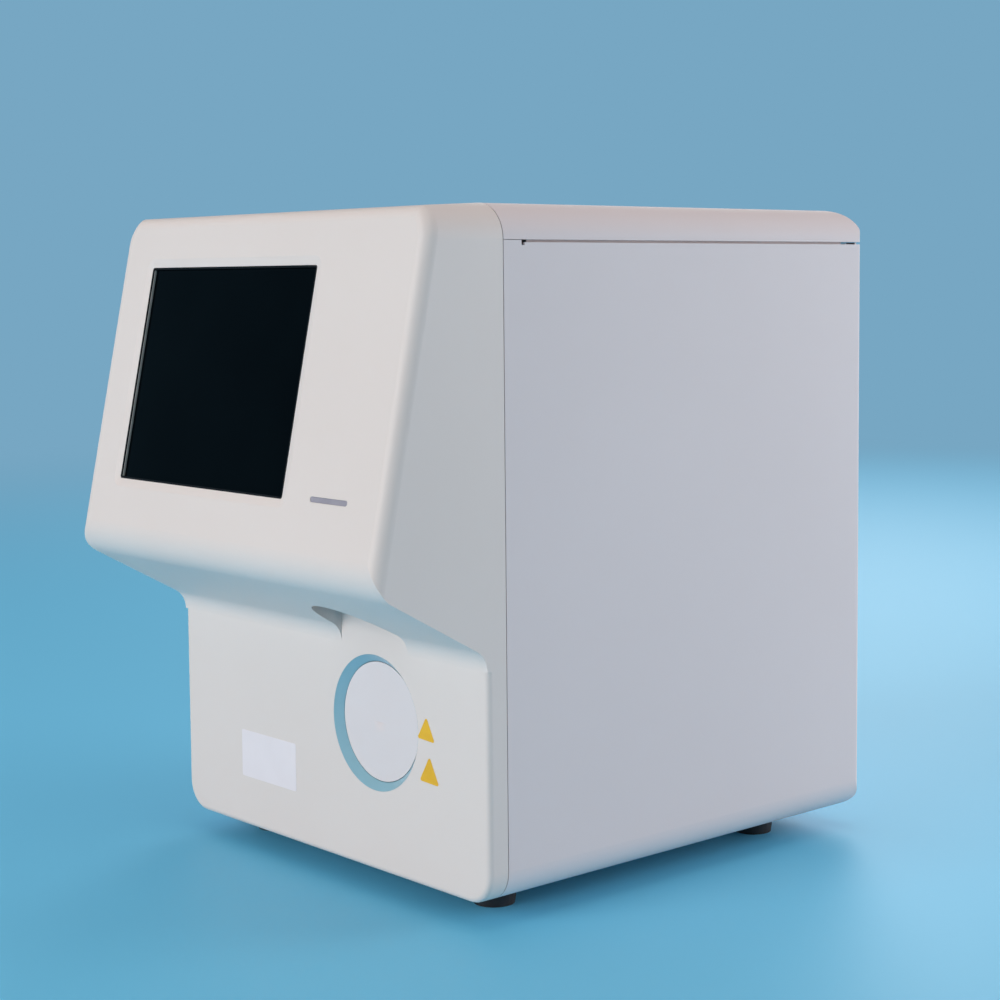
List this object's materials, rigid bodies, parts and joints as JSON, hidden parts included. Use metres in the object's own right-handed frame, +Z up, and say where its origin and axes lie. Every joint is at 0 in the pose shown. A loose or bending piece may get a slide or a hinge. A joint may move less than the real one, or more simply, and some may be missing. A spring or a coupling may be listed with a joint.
{
  "type": "hematology analyzer",
  "caption": "Bench-top blood cell analyzer with a leaning display face, a round aspirate key in a dished ring and a probe that comes down under the overhang.",
  "frame": {"origin": "on the bench, under the middle of the machine's box", "axes": "+X to the viewer's right, +Y to the back, +Z up"},
  "size_m": [0.3, 0.4003, 0.396],
  "materials": {
    "shell_white": "semi-gloss painted moulding",
    "panel_white": "fine powder coat",
    "turquoise": "satin translucent look",
    "key_white": "smooth satin",
    "screen_black": "high gloss",
    "rubber_black": "matt",
    "dark_plastic": "fine texture",
    "lamp_grey": "smooth",
    "steel": "brushed",
    "zinc_sheet": "zinc plated",
    "aluminium": "anodised",
    "circuit_green": "solder mask",
    "clear_plastic": "clear",
    "valve_white": "moulded",
    "port_plastic": "moulded",
    "brass": "turned"
  },
  "bodies": {
    "machine": {"front_housing": "shell_white", "top_cover": "panel_white", "side_panel_right": "panel_white", "side_panel_left": "panel_white", "rear_panel": "panel_white", "base_tray": "zinc_sheet", "feet": "rubber_black", "mid_frame": "zinc_sheet", "cover_screws": "steel", "window_gasket": "rubber_black", "touch_glass": "screen_black", "display_module": "dark_plastic", "display_bracket": "zinc_sheet", "lamp_lens": "lamp_grey", "lamp_board": "circuit_green", "key_ring": "turquoise", "key_spring": "steel", "key_bracket": "zinc_sheet", "key_switch": "dark_plastic", "rail_beam": "aluminium", "travel_rail": "steel", "travel_belt": "rubber_black", "travel_motor": "dark_plastic", "bath_front": "clear_plastic", "bath_rear": "clear_plastic", "bath_shield": "zinc_sheet", "syringe_frame": "aluminium", "large_barrel": "clear_plastic", "small_barrel": "clear_plastic", "large_motor": "dark_plastic", "small_motor": "dark_plastic", "valve_manifold": "clear_plastic", "solenoid_valves": "valve_white", "vacuum_chamber": "clear_plastic", "diaphragm_pump": "dark_plastic", "power_supply": "zinc_sheet", "main_board": "circuit_green", "fan_housing": "dark_plastic", "fan_guard": "steel", "power_inlet": "dark_plastic", "switch_housing": "dark_plastic", "ground_post": "brass", "fluid_ports": "port_plastic", "data_sockets": "steel"},
    "aspirate_key": {"aspirate_key": "key_white"},
    "travel_carriage": {"travel_carriage": "aluminium", "guide_rod": "steel", "lift_motor": "dark_plastic", "probe_wipe": "clear_plastic"},
    "probe_carriage": {"probe_carriage": "aluminium", "sample_probe": "steel"},
    "lift_screw": {"lift_screw": "steel"},
    "drive_pulley": {"drive_pulley": "aluminium"},
    "idler_pulley": {"idler_pulley": "aluminium"},
    "large_plunger": {"large_plunger": "steel"},
    "large_screw": {"large_screw": "steel"},
    "small_plunger": {"small_plunger": "steel"},
    "small_screw": {"small_screw": "steel"},
    "fan_rotor": {"fan_rotor": "dark_plastic"},
    "power_rocker": {"power_rocker": "dark_plastic"}
  },
  "joints": [
    {"name": "key_press", "type": "slide", "parent": "machine", "child": "aspirate_key", "axis": [0, 1, 0], "range_m": [0, 0.0025], "stiffness_N_per_m": 900, "springref_m": -0.001, "deforming": ["key_spring"]},
    {"name": "probe_travel", "type": "slide", "parent": "machine", "child": "travel_carriage", "axis": [0, 1, 0], "range_m": [0, 0.15]},
    {"name": "probe_lift", "type": "slide", "parent": "travel_carriage", "child": "probe_carriage", "axis": [0, 0, -1], "range_m": [0, 0.065]},
    {"name": "lift_screw_turn", "type": "hinge", "parent": "travel_carriage", "child": "lift_screw", "pos_m": [0.058, -0.118, 0.25], "axis": [0, 0, 1], "continuous": true},
    {"name": "drive_pulley_turn", "type": "hinge", "parent": "machine", "child": "drive_pulley", "pos_m": [0.0175, 0.084, 0.272], "axis": [1, 0, 0], "continuous": true},
    {"name": "idler_pulley_turn", "type": "hinge", "parent": "machine", "child": "idler_pulley", "pos_m": [0.0175, -0.134, 0.272], "axis": [1, 0, 0], "continuous": true},
    {"name": "large_stroke", "type": "slide", "parent": "machine", "child": "large_plunger", "axis": [0, 0, -1], "range_m": [0, 0.04]},
    {"name": "large_screw_turn", "type": "hinge", "parent": "machine", "child": "large_screw", "pos_m": [0.082, 0.073, 0.15], "axis": [0, 0, 1], "continuous": true},
    {"name": "small_stroke", "type": "slide", "parent": "machine", "child": "small_plunger", "axis": [0, 0, -1], "range_m": [0, 0.03]},
    {"name": "small_screw_turn", "type": "hinge", "parent": "machine", "child": "small_screw", "pos_m": [0.112, 0.073, 0.15], "axis": [0, 0, 1], "continuous": true},
    {"name": "fan_spin", "type": "hinge", "parent": "machine", "child": "fan_rotor", "pos_m": [-0.084, 0.175, 0.29], "axis": [0, 1, 0], "continuous": true},
    {"name": "power_rocker_tip", "type": "hinge", "parent": "machine", "child": "power_rocker", "pos_m": [-0.06, 0.188, 0.076], "axis": [-1, 0, 0], "range_deg": [0, 10]}
  ],
  "couplings": [
    {"joint": "lift_screw_turn", "follows": "probe_lift", "rad_per_m": 628.32},
    {"joint": "drive_pulley_turn", "follows": "probe_travel", "rad_per_m": -163.93},
    {"joint": "idler_pulley_turn", "follows": "probe_travel", "rad_per_m": -163.93},
    {"joint": "large_screw_turn", "follows": "large_stroke", "rad_per_m": 628.32},
    {"joint": "small_screw_turn", "follows": "small_stroke", "rad_per_m": 628.32}
  ]
}
